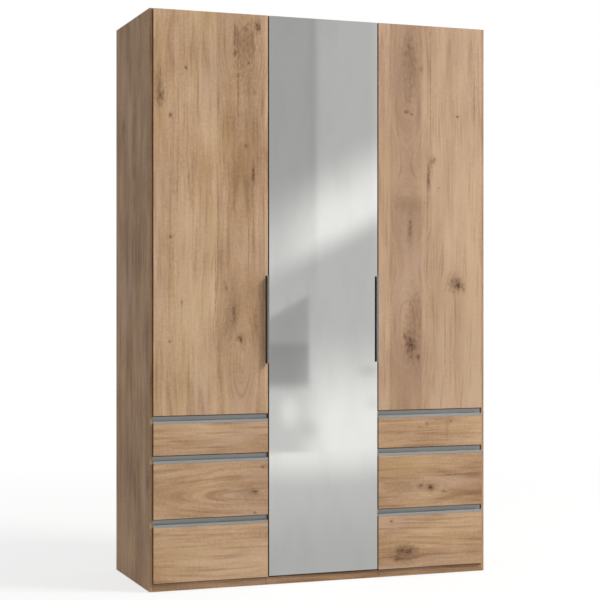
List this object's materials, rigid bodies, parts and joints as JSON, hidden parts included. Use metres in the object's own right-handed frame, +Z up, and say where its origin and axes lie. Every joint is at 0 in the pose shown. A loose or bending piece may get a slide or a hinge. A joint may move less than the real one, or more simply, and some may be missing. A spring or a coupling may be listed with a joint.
{
  "type": "wardrobe",
  "caption": "Free-standing wardrobe in oak decor with hinged doors, a tall mirror door in the middle and drawers with metal grip strips below the outer doors.",
  "frame": {"origin": "on the floor, under the middle of the whole object's box", "axes": "+Z up, the fronts face -Y, +X to the right of a person who faces the fronts"},
  "size_m": [1.5, 0.6, 2.36],
  "materials": {
    "oak_decor": "matt oak laminate",
    "interior_decor": "matt linen-look laminate",
    "back_board": "thin lacquered fibreboard",
    "mirror": "polished silvered glass",
    "aluminium": "satin anodised",
    "nickel_steel": "nickel plated",
    "zinc_steel": "zinc plated",
    "runner_paint": "white powder coat",
    "chrome_tube": "chrome plated",
    "strip_plastic": "matt",
    "black_plastic": "matt",
    "clear_plastic": "soft, translucent"
  },
  "bodies": {
    "root": {"left_side_panel": "interior_decor", "right_side_panel": "interior_decor", "left_cover_side": "oak_decor", "right_cover_side": "oak_decor", "left_partition": "interior_decor", "right_partition": "interior_decor", "top_panel": "oak_decor", "left_floor_board": "interior_decor", "left_plinth_board": "oak_decor", "middle_floor_board": "interior_decor", "middle_plinth_board": "oak_decor", "right_floor_board": "interior_decor", "right_plinth_board": "oak_decor", "back_panels": "back_board", "back_joint_strips": "strip_plastic", "floor_glides": "black_plastic", "wall_brackets": "zinc_steel", "left_drawer_cover_board": "interior_decor", "right_drawer_cover_board": "interior_decor", "hat_shelves": "interior_decor", "middle_shelves": "interior_decor", "clothes_rails": "chrome_tube", "rail_brackets": "zinc_steel", "shelf_pins": "zinc_steel", "hinge_arms": "nickel_steel", "door_bumpers": "clear_plastic", "cabinet_runners": "runner_paint"},
    "left_door": {"left_door_panel": "oak_decor", "left_door_handle": "aluminium", "left_door_hinge_cups": "nickel_steel"},
    "mirror_door": {"middle_door_panel": "oak_decor", "mirror_glass": "mirror", "middle_door_handle": "aluminium", "middle_door_hinge_cups": "nickel_steel"},
    "right_door": {"right_door_panel": "oak_decor", "right_door_hinge_cups": "nickel_steel"},
    "left_lower_drawer": {"left_lower_drawer_front": "oak_decor", "left_lower_drawer_grip_strip": "aluminium", "left_lower_drawer_box": "interior_decor", "left_lower_drawer_runners": "runner_paint"},
    "left_centre_drawer": {"left_centre_drawer_front": "oak_decor", "left_centre_drawer_grip_strip": "aluminium", "left_centre_drawer_box": "interior_decor", "left_centre_drawer_runners": "runner_paint"},
    "left_upper_drawer": {"left_upper_drawer_front": "oak_decor", "left_upper_drawer_grip_strip": "aluminium", "left_upper_drawer_box": "interior_decor", "left_upper_drawer_runners": "runner_paint"},
    "right_lower_drawer": {"right_lower_drawer_front": "oak_decor", "right_lower_drawer_grip_strip": "aluminium", "right_lower_drawer_box": "interior_decor", "right_lower_drawer_runners": "runner_paint"},
    "right_centre_drawer": {"right_centre_drawer_front": "oak_decor", "right_centre_drawer_grip_strip": "aluminium", "right_centre_drawer_box": "interior_decor", "right_centre_drawer_runners": "runner_paint"},
    "right_upper_drawer": {"right_upper_drawer_front": "oak_decor", "right_upper_drawer_grip_strip": "aluminium", "right_upper_drawer_box": "interior_decor", "right_upper_drawer_runners": "runner_paint"}
  },
  "joints": [
    {"name": "left_door_hinge", "type": "hinge", "parent": "root", "child": "left_door", "pos_m": [-0.7295, -0.28, 1.535], "axis": [0, 0, -1], "range_deg": [0, 105]},
    {"name": "mirror_door_hinge", "type": "hinge", "parent": "root", "child": "mirror_door", "pos_m": [-0.236, -0.28, 1.198], "axis": [0, 0, -1], "range_deg": [0, 90]},
    {"name": "right_door_hinge", "type": "hinge", "parent": "root", "child": "right_door", "pos_m": [0.7295, -0.28, 1.535], "axis": [0, 0, 1], "range_deg": [0, 105]},
    {"name": "left_lower_drawer_slide", "type": "slide", "parent": "root", "child": "left_lower_drawer", "axis": [0, -1, 0], "range_m": [0, 0.35]},
    {"name": "left_centre_drawer_slide", "type": "slide", "parent": "root", "child": "left_centre_drawer", "axis": [0, -1, 0], "range_m": [0, 0.35]},
    {"name": "left_upper_drawer_slide", "type": "slide", "parent": "root", "child": "left_upper_drawer", "axis": [0, -1, 0], "range_m": [0, 0.35]},
    {"name": "right_lower_drawer_slide", "type": "slide", "parent": "root", "child": "right_lower_drawer", "axis": [0, -1, 0], "range_m": [0, 0.35]},
    {"name": "right_centre_drawer_slide", "type": "slide", "parent": "root", "child": "right_centre_drawer", "axis": [0, -1, 0], "range_m": [0, 0.35]},
    {"name": "right_upper_drawer_slide", "type": "slide", "parent": "root", "child": "right_upper_drawer", "axis": [0, -1, 0], "range_m": [0, 0.35]}
  ]
}
